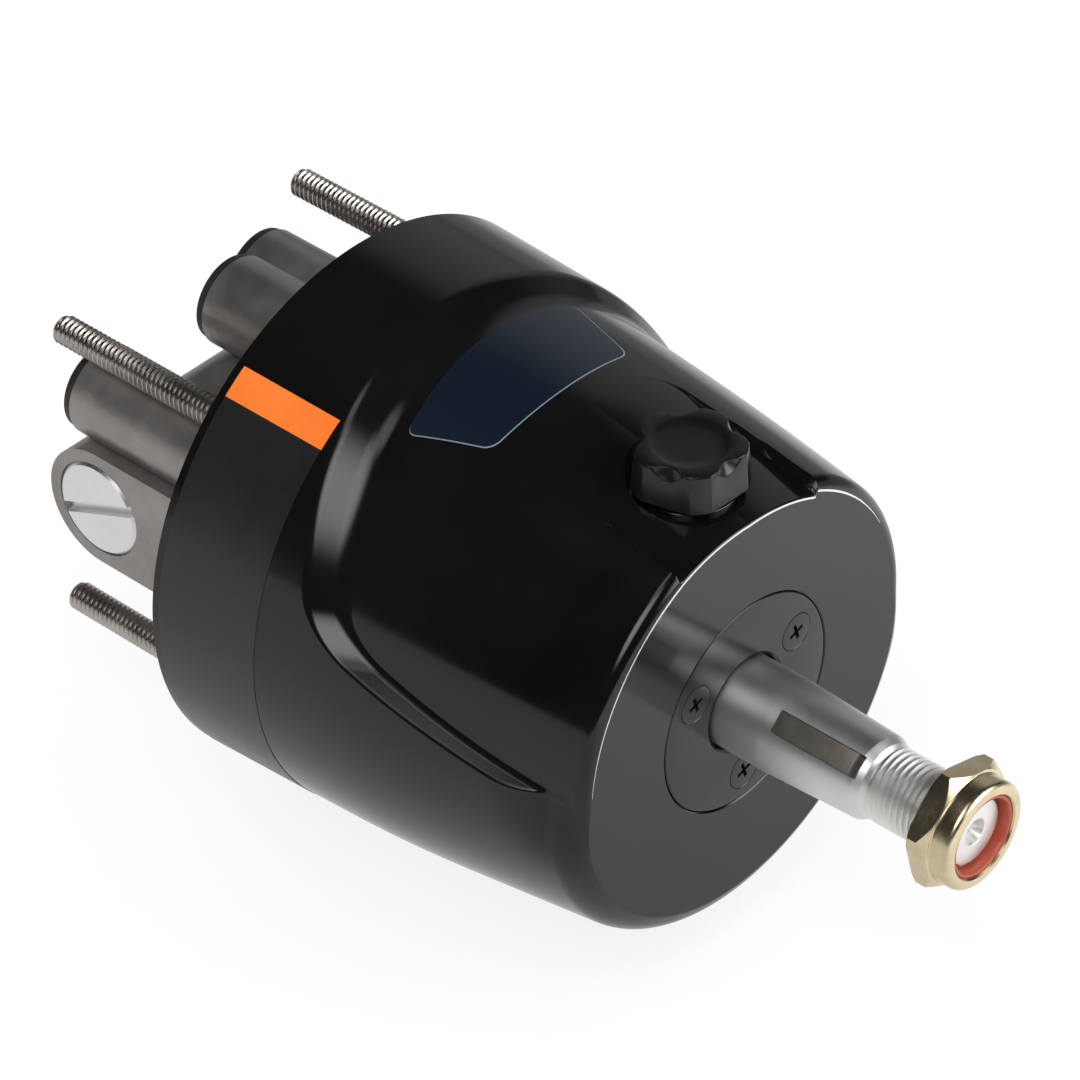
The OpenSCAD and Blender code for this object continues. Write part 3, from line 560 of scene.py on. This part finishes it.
def patch(name, corner_rows, offset, body, slot, material, thick=0.12):
    """A thin film lying on the housing. corner_rows holds arrays of (turn in degrees, f)."""
    rows = []
    for turn_deg, f in corner_rows:
        turn = np.radians(turn_deg)
        r = 38.0 + reach(np.full_like(turn, 38.0), f, 1.0, 0.0, turn)
        rows.append((r, turn, f))
    columns = len(rows[0][1])
    top = [place((r + offset) * np.cos(t), (r + offset) * np.sin(t), f) for r, t, f in rows]
    low = [place((r - thick) * np.cos(t), (r - thick) * np.sin(t), f) for r, t, f in rows]
    points = np.concatenate(top + low)
    count = len(rows)
    faces = grid_faces(count, columns, False)
    base = count * columns
    faces += [tuple(base + i for i in reversed(face)) for face in faces]
    border = ([(0, j) for j in range(columns)] + [(i, columns - 1) for i in range(1, count)]
              + [(count - 1, j) for j in range(columns - 2, -1, -1)] + [(i, 0) for i in range(count - 2, 0, -1)])
    ring = [i * columns + j for i, j in border]
    faces += [(ring[k], ring[(k + 1) % len(ring)], base + ring[(k + 1) % len(ring)], base + ring[k])
              for k in range(len(ring))]
    return piece(name, points, faces, body, slot, material, angle=30.0)


def band(turn0, turn1, f0, f1, rows=24, columns=24):
    """Rows of (turn, f) for a patch with straight or curved front and rear edges."""
    out = []
    for i in range(rows + 1):
        turn = np.linspace(turn0, turn1, columns + 1)
        a = np.interp(turn, *f0) if isinstance(f0, tuple) else f0
        b = np.interp(turn, *f1) if isinstance(f1, tuple) else f1
        out.append((turn, a + (b - a) * i / rows + 0 * turn))
    return out


def nameplate_rows(grow):
    """The bare nameplate behind the flat, its rear edge bowed; larger by grow in front and at the sides."""
    rows = []
    shares = np.concatenate([1 - np.cos(np.linspace(0, math.pi / 2, 8)), np.linspace(1, 9, 18)[1:]]) / 18
    for t in np.concatenate([shares, 1 - shares[-2::-1]]):
        # Corners with a radius of 2.4 mm
        near = min(t, 1 - t) * 23.0 / 2.4
        corner = 2.6 * (1 - math.sqrt(max(0.0, 1 - (1 - min(near, 1)) ** 2)))
        half = 28.4 - 6.6 * t + grow - corner
        turn = 90.6 + half * np.linspace(-1, 1, 61)
        rear = 35.0 + 0.0024 * (turn - 79.0) ** 2
        front = 56.6 + grow - 0.0022 * (turn - 92.0) ** 2
        rows.append((turn, rear + (front - rear) * t))
    return rows


def worn_edge():
    """The thin bare line where the face was machined through the paint."""
    degrees = np.concatenate([np.arange(28, 58, 1.0), np.arange(58, 72, 0.15), np.arange(72, 108, 1.0),
                              np.arange(108, 122, 0.15), np.arange(122, 176, 1.0)])
    turn = np.radians(degrees)
    degrees = np.degrees(turn)
    wide = 0.34 * np.clip((degrees - 28) / 25, 0, 1) * np.clip((175 - degrees) / 45, 0.0, 1) + 0.02
    r = 36.0 + reach(np.full_like(turn, 36.0), 103.97, 1.0, 0.0, turn) - 0.28
    rows = [(r - 0.06, 103.8), (r - 0.06, 104.025), (r + wide * 0.5, 104.03), (r + wide, 103.99),
            (r + wide, 103.7)]
    points = np.concatenate([place(a * np.cos(turn), a * np.sin(turn), f) for a, f in rows])
    faces = grid_faces(len(rows), len(turn), False)
    piece("worn_edge", points, faces, "helm", "housing_paint", PLUG_ALLOY, angle=50.0)


worn_edge()
patch("nameplate_border", nameplate_rows(0.22), 0.10, "helm", "housing_paint", PALE_LINE)
patch("nameplate", nameplate_rows(0.0), 0.13, "helm", "housing_paint", PLATE_FILM)
patch("orange_block", band(123.9, 130.6, 1.8, 27.1), 0.1, "helm", "housing_paint", ORANGE_FILM)
patch("side_film", band(130.6, 228.0, 1.8, 27.0, 20, 120), 0.1, "helm", "housing_paint", DARK_FILM)


# -------------------------------------------------------- face and seal plate

def cross_screw(centre, reach_r, depth=1.6):
    """A countersunk screw head with a cross recess, seen from the front."""
    head = [(0.0, FACE_F - 2.6), (1.9, FACE_F - 2.6), (2.0, FACE_F - 2.2), (reach_r, FACE_F - 0.15),
            (reach_r, FACE_F - 0.05), (reach_r - 0.3, FACE_F + 0.0), (0.0, FACE_F + 0.0)]
    mesh = raw("head", *turned(head, at=(centre[0], centre[1], 0.0), segments=48))
    cutters = []
    for angle in (0.3, 0.3 + math.pi / 2):
        turn = Matrix.Rotation(angle, 3, "Z")
        cutters.append(raw("slot", *block((3.9, 0.85, 2 * depth), (centre[0], centre[1], FACE_F), turn)))
    return cut(mesh, cutters)


def merge(meshes):
    bm = bmesh.new()
    for mesh in meshes:
        bm.from_mesh(mesh)
    done = bpy.data.meshes.new("merged")
    bm.to_mesh(done)
    bm.free()
    return done


def seal_plate():
    top = FACE_F - 0.05
    profile = rounded([(10.6, 101.35), (23.9, 101.35), (23.9, top), (11.2, top), (10.6, top - 0.6),
                       (10.6, 101.35)], [0, 0, 0.35, 0.2, 0.1, 0])
    mesh = raw("plate", *turned(profile, segments=192))
    turns = [math.radians(30 + 120 * k) for k in range(3)]
    spots = [(17.4 * math.cos(a), 17.4 * math.sin(a), 0.0) for a in turns]
    sink = [(0, 100.0), (2.2, 100.0), (2.2, 102.0), (4.25, top), (4.6, top + 0.4), (4.6, 105.0), (0, 105.0)]
    mesh = cut(mesh, [raw("sink", *turned(sink, at=spot, segments=48)) for spot in spots])
    shade(mesh)
    dress("seal_plate_cover", mesh, "helm", FACE_PAINT, ["seal_plate"])
    mesh = merge([cross_screw(spot, 4.05) for spot in spots])
    shade(mesh)
    dress("plate_screw_heads", mesh, "helm", SCREW_BLACK, ["seal_plate_screws"])


seal_plate()

# ------------------------------------------------------------ wheel shaft

KEY_TURN = math.radians(133.4)


def key_frame(radial, across, forward):
    """A place given along the key's direction and across it."""
    c, s = math.cos(KEY_TURN), math.sin(KEY_TURN)
    return radial * c - across * s, radial * s + across * c, forward


def wheel_shaft():
    profile = rounded([(0, 94.5), (9.98, 94.5), (9.98, 115.0), (9.06, 137.6), (8.1, 139.3), (7.2, 140.2),
                       (7.2, 141.0), (0, 141.0)], [0, 0, 1.0, 0.9, 0.4, 0.2, 0, 0], 6)
    mesh = raw("body", *turned(profile, segments=160))
    low, high = 5.84, 11.5
    slot = block((high - low, 4.9, 20.6), key_frame((low + high) / 2, 0, 117.4 + 10.3),
                 Matrix.Rotation(KEY_TURN, 3, "Z"))
    mesh = cut(mesh, [raw("pocket", *slot)])
    shade(mesh, 30)
    dress("shaft_body", mesh, "steering_shaft", SHAFT_STEEL, ["wheel_shaft"])
    # The rear length, inside the pump
    inner = rounded([(0, 2.5), (7.98, 2.5), (7.98, 14.0), (9.98, 14.1), (9.98, 79.3), (12.48, 79.3),
                     (12.48, 82.3), (9.98, 82.3), (9.98, 94.5), (0, 94.5)], [0, 0.5, 0, 0, 0, 0.4, 0.2, 0, 0, 0])
    piece("shaft_inner", *turned(inner, segments=96), "steering_shaft", "shaft_steel", SHAFT_STEEL)
    # Thread
    pitch = 25.4 / 18
    coils, faces = thread(140.6, 161.6, 7.92, 0.72, pitch, 64, lead=0.9)
    r, t, s = coils.T
    points = list(map(tuple, place(r * np.cos(t), r * np.sin(t), s)))
    first = len(points)
    points += [tuple(place(0, 0, 140.6))]
    faces = [tuple(f) for f in faces] + [(first, (j + 1) % 64, j) for j in range(64)]
    end_turned, end_faces = turned([(7.02, 161.6), (6.4, 161.68), (3.05, 161.68), (2.9, 161.6), (1.5, 159.1),
                                    (1.5, 156.5), (0.0, 156.0)], segments=64)
    start = len(points)
    points += [tuple(p) for p in end_turned]
    faces += [tuple(start + i for i in f) for f in end_faces]
    piece("shaft_thread", points, faces, "steering_shaft", "shaft_steel", THREAD_STEEL, angle=28.0)


THREAD_STEEL = finish("thread steel", (0.84, 0.84, 0.82), (0.92, 0.92, 0.90), 0.42, metal=1.0,
                      scale=1500.0, patch=120.0, bump=0.003)
wheel_shaft()


def shaft_key():
    length, width = 19.4, 4.6
    low, high = 5.9, 10.38
    mesh = raw("key", *block((high - low, width, length), key_frame((low + high) / 2, 0, 117.55 + length / 2),
                             Matrix.Rotation(KEY_TURN, 3, "Z")))
    bm = bmesh.new()
    bm.from_mesh(mesh)
    bmesh.ops.bevel(bm, geom=list(bm.edges), offset=0.22 * MM, segments=2, profile=0.6, affect="EDGES")
    bm.to_mesh(mesh)
    bm.free()
    shade(mesh, 30)
    dress("key_bar", mesh, "steering_shaft", KEY_STEEL, ["shaft_key"])


shaft_key()


def wheel_nut():
    corner = 14.05
    hexa = []
    for f in (154.0, 165.0):
        for i in range(6):
            a = math.radians(45 + 60 * i)
            hexa.append(tuple(place(corner * math.cos(a), corner * math.sin(a), f)))
    faces = [(0, 1, 2, 3, 4, 5), (11, 10, 9, 8, 7, 6)]
    faces += [(i, (i + 1) % 6, 6 + (i + 1) % 6, 6 + i) for i in range(6)]
    prism = raw("hex", hexa, faces)
    bm = bmesh.new()
    bm.from_mesh(prism)
    edges = [e for e in bm.edges if abs((e.verts[0].co - e.verts[1].co).y) > 0.005]
    bmesh.ops.bevel(bm, geom=edges, offset=0.35 * MM, segments=3, profile=0.5, affect="EDGES")
    bm.to_mesh(prism)
    bm.free()
    # The cone that rounds the corners off at both ends
    cone = rounded([(0, 155.02), (12.9, 155.02), (14.2, 155.75), (14.2, 157.5), (12.35, 159.55), (11.75, 159.75),
                    (11.68, 160.2), (11.68, 164.15), (0, 164.15)],
                   [0, 0.3, 0.1, 0.1, 0.25, 0.3, 0.2, 1.35, 0], 7)
    body = raw("cone", *turned(cone, segments=192))
    mesh = cut(prism, [body], "INTERSECT")
    bore = [(0, 154.0), (8.75, 154.0), (8.75, 155.0), (8.1, 155.7), (8.1, 160.7), (9.0, 160.7), (9.0, 163.75),
            (9.35, 164.3), (9.35, 166.0), (0, 166.0)]
    mesh = cut(mesh, [raw("bore", *turned(bore, segments=128))])
    shade(mesh, 24)
    dress("wheel_nut_body", mesh, "steering_shaft", NUT_PLATE, ["wheel_nut"])
    ring = rounded([(8.0, 160.75), (8.98, 160.75), (8.98, 163.5), (8.75, 163.75), (8.2, 163.7), (7.97, 163.2),
                    (8.0, 160.75)], [0, 0, 0.1, 0.15, 0.2, 0.1, 0], 4)
    points, faces = turned(ring, segments=128)
    piece("locking_ring", points, faces, "steering_shaft", "insert_red", INSERT_RED, ["nut_insert"])


wheel_nut()

# ------------------------------------------------------------ filler cap


def filler_cap(columns=240):
    """A knob with five lobes; the flats between them are scooped out at the top. Its underside
    stays above the O-ring, and only the skirt reaches lower."""
    step = np.arange(columns)
    turn = np.radians(step * 1.5 + 16.1)
    gap = np.abs((step * 1.5) % 72 - 36)
    flat = 10.85 / np.cos(np.radians(np.minimum(gap, 18.0)))
    wall = flat + (12.0 - 10.85 / math.cos(math.radians(18))) * np.clip((gap - 18) / 7.5, 0, 1)
    dip = np.clip(1 - (gap / 19.5) ** 2, 0, 1)
    top, foot = 56.36, 47.7
    rows = [(np.full_like(turn, 7.0), 48.7), (wall - 0.9, 48.7), (wall - 0.5, foot), (wall - 0.15, foot)]
    for share in (0.03, 0.3, 0.6, 0.97):
        rows.append((wall - 0.5 * share, foot + share * (top - 0.55 - 2.2 * dip - foot)))
    edge = wall - 0.52
    lip = np.minimum(edge - 0.1, 11.35 - 2.3 * dip)
    rows += [(edge - 0.04, top - 0.42 - 2.16 * dip), (edge - 0.14, top - 0.27 - 2.08 * dip),
             (edge - 0.3, top - 0.18 - 1.98 * dip)]
    for share in (0.35, 0.7, 0.95):
        low = 1.94 * dip * (1 - share) ** 0.8
        rows.append((edge - 0.3 + (lip + 0.2 - edge) * share, top - 0.16 - low))
    rows += [(lip - 0.14, top - 0.12), (lip - 0.24, top - 0.05), (lip - 0.4, top), (lip * 0.4 + 4.8, top)]
    for radius, dish in ((8.1, 0.0), (7.7, 0.05), (7.2, 0.2), (6.6, 0.3), (5.0, 0.33), (2.0, 0.34)):
        rows.append((np.full_like(turn, radius), top - dish + 0 * turn))
    points = [place(r * np.cos(turn), level, CAP_F - r * np.sin(turn)) for r, level in rows]
    faces = grid_faces(len(rows), columns)
    points = list(map(tuple, np.concatenate(points))) + [tuple(place(0, top - 0.34, CAP_F))]
    base = (len(rows) - 1) * columns
    faces += [(base + j, base + (j + 1) % columns, len(points) - 1) for j in range(columns)]
    # Collar and stem
    stem = [(7.0, 48.7), (9.9, 48.7), (9.9, 46.9), (9.7, 46.62), (9.55, 46.62), (9.5, 48.4), (7.0, 48.4),
            (7.0, 46.8), (6.9, 46.4), (6.9, 40.0), (6.3, 39.7), (0.05, 39.7)]
    under, under_faces = turned(stem, "up", (0.0, 0.0, CAP_F), 120)
    start = len(points)
    points += [tuple(p) for p in under]
    faces += [tuple(start + i for i in f) for f in under_faces]
    piece("filler_cap_knob", points, faces, "cap", "filler_plastic", CAP_PLASTIC, ["filler_cap"], angle=22.0)


filler_cap()


def filler_seat():
    """Machined seat and threaded neck under the cap."""
    profile = rounded([(10.1, 46.3), (10.0, 46.4), (7.6, 46.4), (7.06, 45.8), (7.06, 40.0), (7.3, 39.55),
                       (12.0, 39.5), (12.0, 41.0), (12.0, 44.0), (10.1, 44.1), (10.1, 46.3)],
                      [0, 0.05, 0.05] + [0] * 8)
    points, faces = turned(profile, "up", (0.0, 0.0, CAP_F), 128)
    piece("filler_seat", points, faces, "helm", "housing_paint", HOUSING_PAINT)


filler_seat()

# ------------------------------------------------------------ studs, rear


def studs():
    pitch = 25.4 / 20
    parts = []
    for x in (-STUD_AT, STUD_AT):
        for y in (-STUD_AT, STUD_AT):
            coils, faces = thread(-0.4, 49.3, 3.16, 0.6, pitch, 32, lead=0.8)
            r, t, s = coils.T
            points = place(x + r * np.cos(t), y + r * np.sin(-t), -s)
            last = len(points) - 32
            end = np.array([tuple(place(x, y, -49.3)), tuple(place(x, y, 0.4))])
            points = np.concatenate([points, end])
            faces = [tuple(f) for f in faces]
            faces += [(len(points) - 2, last + (j + 1) % 32, last + j) for j in range(32)]
            faces += [(len(points) - 1, j, (j + 1) % 32) for j in range(32)]
            parts.append((points, faces))
            parts.append(turned([(0, 0.3), (2.75, 0.3), (2.75, 13.4), (0, 13.4)], at=(x, y, 0), segments=32))
    points, faces = joined(parts)
    piece("threaded_studs", points, faces, "helm", "stud_steel", STUD_STEEL, ["mounting_studs"], angle=28.0)


studs()

# ------------------------------------------ finishes of the pieces kept from CAD

CAD_FINISH = {
    "rear_body": CAST_ALLOY, "housing_oring": RUBBER, "housing_screws": DARK_STEEL, "shaft_seal": RUBBER,
    "bearing_outer_ring": BEARING_STEEL, "bearing_inner_ring": BEARING_STEEL, "bearing_balls_set": BEARING_STEEL,
    "bearing_cage": BRONZE, "fixed_race": BEARING_STEEL, "thrust_race": BEARING_STEEL,
    "thrust_balls": BEARING_STEEL, "thrust_cage": BRONZE, "rotor": PUMP_IRON, "pistons": BEARING_STEEL,
    "piston_springs": SPRING_STEEL,
    "drive_pin": BEARING_STEEL, "rotor_clip": SPRING_STEEL, "port_plate": BRONZE, "plate_dowels": BEARING_STEEL,
    "rear_bush": BRONZE, "shuttle_spool": BEARING_STEEL, "valve_seats": BEARING_STEEL,
    "left_poppet": BEARING_STEEL, "right_poppet": BEARING_STEEL, "left_spring": SPRING_STEEL,
    "right_spring": SPRING_STEEL,
    "left_plug": PLUG_ALLOY, "right_plug": PLUG_ALLOY, "plug_orings": RUBBER, "port_caps": PORT_PLASTIC,
    "cap_oring": RUBBER,
}
for item in list(bpy.data.objects):
    material = CAD_FINISH.get(item.name.split(".")[0])
    if item.type == "MESH" and material is not None:
        item.data.materials.clear()
        item.data.materials.append(material)

# ------------------------------------------------------------ camera, light

EYE = Vector((-0.7226, -0.7022, 0.7857))
AZIMUTH, ELEVATION, ROLL = -47.92, 38.48, -0.07
FOCAL_PIXELS, PHOTO_PIXELS = 6238.3, 1080
camera = bpy.data.cameras.new("camera")
camera.sensor_width = 36.0
camera.lens = FOCAL_PIXELS / PHOTO_PIXELS * 36.0
camera.clip_start, camera.clip_end = 0.05, 20.0
viewer = bpy.data.objects.new("camera", camera)
bpy.context.scene.collection.objects.link(viewer)
az, el = math.radians(AZIMUTH), math.radians(ELEVATION)
back = Vector((math.sin(az) * math.cos(el), -math.cos(az) * math.cos(el), math.sin(el)))
right = Vector((0, 0, 1)).cross(back).normalized()
up = back.cross(right)
turn = Matrix((right, up, back)).transposed() @ Matrix.Rotation(math.radians(ROLL), 3, "Z")
viewer.matrix_world = Matrix.Translation(EYE) @ turn.to_4x4()
bpy.context.scene.camera = viewer
bpy.context.scene.view_settings.view_transform = "Standard"


def area_light(name, spot, aim, size, power):
    lamp = bpy.data.lights.new(name, "AREA")
    lamp.size = size
    lamp.energy = power
    item = bpy.data.objects.new(name, lamp)
    bpy.context.scene.collection.objects.link(item)
    way = Vector(aim) - Vector(spot)
    item.visible_camera = False
    item.visible_glossy = False
    item.matrix_world = Matrix.Translation(Vector(spot)) @ way.to_track_quat("-Z", "Y").to_matrix().to_4x4()
    return item


def studio():
    low = cad_box_low[2] - 0.0005
    mesh = bpy.data.meshes.new("studio_floor")
    mesh.from_pydata([(-40, -40, low), (40, -40, low), (40, 40, low), (-40, 40, low)], [], [(0, 1, 2, 3)])
    floor = bpy.data.objects.new("studio_floor", mesh)
    bpy.context.scene.collection.objects.link(floor)
    material = bpy.data.materials.new("studio white")
    material.use_nodes = True
    tree = material.node_tree
    shader = tree.nodes["Principled BSDF"]
    shader.inputs["Roughness"].default_value = 0.9
    shader.inputs["Specular IOR Level"].default_value = 0.0
    grain = node(tree, "ShaderNodeGroup", node_tree=GRAIN)
    ramp = node(tree, "ShaderNodeValToRGB")
    ramp.color_ramp.elements[0].color = (0.80, 0.80, 0.80, 1)
    ramp.color_ramp.elements[1].color = (0.82, 0.82, 0.82, 1)
    tree.links.new(grain.outputs["Patches"], ramp.inputs["Fac"])
    tree.links.new(ramp.outputs["Color"], shader.inputs["Base Color"])
    # The camera sees white with a faint shadow; reflections see a floor lit brightest on the right
    pale = node(tree, "ShaderNodeEmission")
    pale.inputs["Strength"].default_value = 1.06
    soft = node(tree, "ShaderNodeMixShader")
    soft.inputs[0].default_value = 0.2
    tree.links.new(pale.outputs[0], soft.inputs[1])
    tree.links.new(shader.outputs[0], soft.inputs[2])
    glow = node(tree, "ShaderNodeEmission")
    spot = node(tree, "ShaderNodeNewGeometry")
    apart = node(tree, "ShaderNodeSeparateXYZ")
    near = node(tree, "ShaderNodeMapRange")
    far = node(tree, "ShaderNodeMapRange")
    set_inputs(near, From_Min=0.12, From_Max=0.34, To_Min=0.68, To_Max=1.15)
    set_inputs(far, From_Min=0.2, From_Max=0.5, To_Max=0.3)
    tree.links.new(spot.outputs["Position"], apart.inputs[0])
    ahead = node(tree, "ShaderNodeMath", operation="SUBTRACT")
    tree.links.new(apart.outputs["X"], ahead.inputs[0])
    tree.links.new(apart.outputs["Y"], ahead.inputs[1])
    tree.links.new(ahead.outputs[0], near.inputs["Value"])
    tree.links.new(apart.outputs["X"], far.inputs["Value"])
    tree.links.new(near.outputs["Result"], far.inputs["To Min"])
    tree.links.new(far.outputs["Result"], glow.inputs["Strength"])
    ray = node(tree, "ShaderNodeLightPath")
    pick = node(tree, "ShaderNodeMixShader")
    tree.links.new(ray.outputs["Is Glossy Ray"], pick.inputs[0])
    tree.links.new(soft.outputs[0], pick.inputs[1])
    tree.links.new(glow.outputs[0], pick.inputs[2])
    tree.links.new(pick.outputs[0], tree.nodes["Material Output"].inputs["Surface"])
    mesh.materials.append(material)
    world = bpy.data.worlds.new("studio")
    bpy.context.scene.world = world
    world.use_nodes = True
    tree = world.node_tree
    backing = tree.nodes["Background"]
    backing.inputs["Color"].default_value = (1, 1, 1, 1)
    ray = node(tree, "ShaderNodeLightPath")
    seen = node(tree, "ShaderNodeMapRange")
    seen.inputs["To Min"].default_value = 0.85
    seen.inputs["To Max"].default_value = 1.0
    tree.links.new(ray.outputs["Is Camera Ray"], seen.inputs["Value"])
    # Reflections see dark surroundings with soft-edged light boxes: direction, half angles, strength
    mirror = node(tree, "ShaderNodeMapRange")
    tree.links.new(ray.outputs["Is Glossy Ray"], mirror.inputs["Value"])
    tree.links.new(seen.outputs["Result"], mirror.inputs["To Min"])
    tree.links.new(mirror.outputs["Result"], backing.inputs["Strength"])
    way = node(tree, "ShaderNodeTexCoord")
    total = None
    for azimuth, elevation, inner, outer, strength in (
            (-63, 50, 5, 23, 4.2), (-95, 74, 3, 13, 1.6), (115, 20, 6, 30, 0.32), (-130, 0, 3, 14, 0.6),
            (28, 25, 10, 30, 5.0)):
        a, e = math.radians(azimuth), math.radians(elevation)
        near = node(tree, "ShaderNodeVectorMath", operation="DOT_PRODUCT")
        near.inputs[1].default_value = (math.sin(a) * math.cos(e), -math.cos(a) * math.cos(e), math.sin(e))
        box = node(tree, "ShaderNodeMapRange", interpolation_type="SMOOTHSTEP")
        set_inputs(box, From_Min=math.cos(math.radians(outer)), From_Max=math.cos(math.radians(inner)),
                   To_Min=0.0, To_Max=strength)
        tree.links.new(way.outputs["Generated"], near.inputs[0])
        tree.links.new(near.outputs["Value"], box.inputs["Value"])
        add = node(tree, "ShaderNodeMath", operation="ADD")
        add.inputs[1].default_value = 0.02
        tree.links.new(box.outputs["Result"], add.inputs[0])
        if total is not None:
            tree.links.new(total.outputs[0], add.inputs[1])
        total = add
    tree.links.new(total.outputs[0], mirror.inputs["To Max"])


cad_box_low = cad_box[0]
studio()
area_light("softbox", (-0.77, -0.40, 1.26), (0, -0.06, 0), 0.72, 8.0)
area_light("front_box", (0.66, -1.22, 0.70), (0, -0.06, 0), 0.8, 6.0)
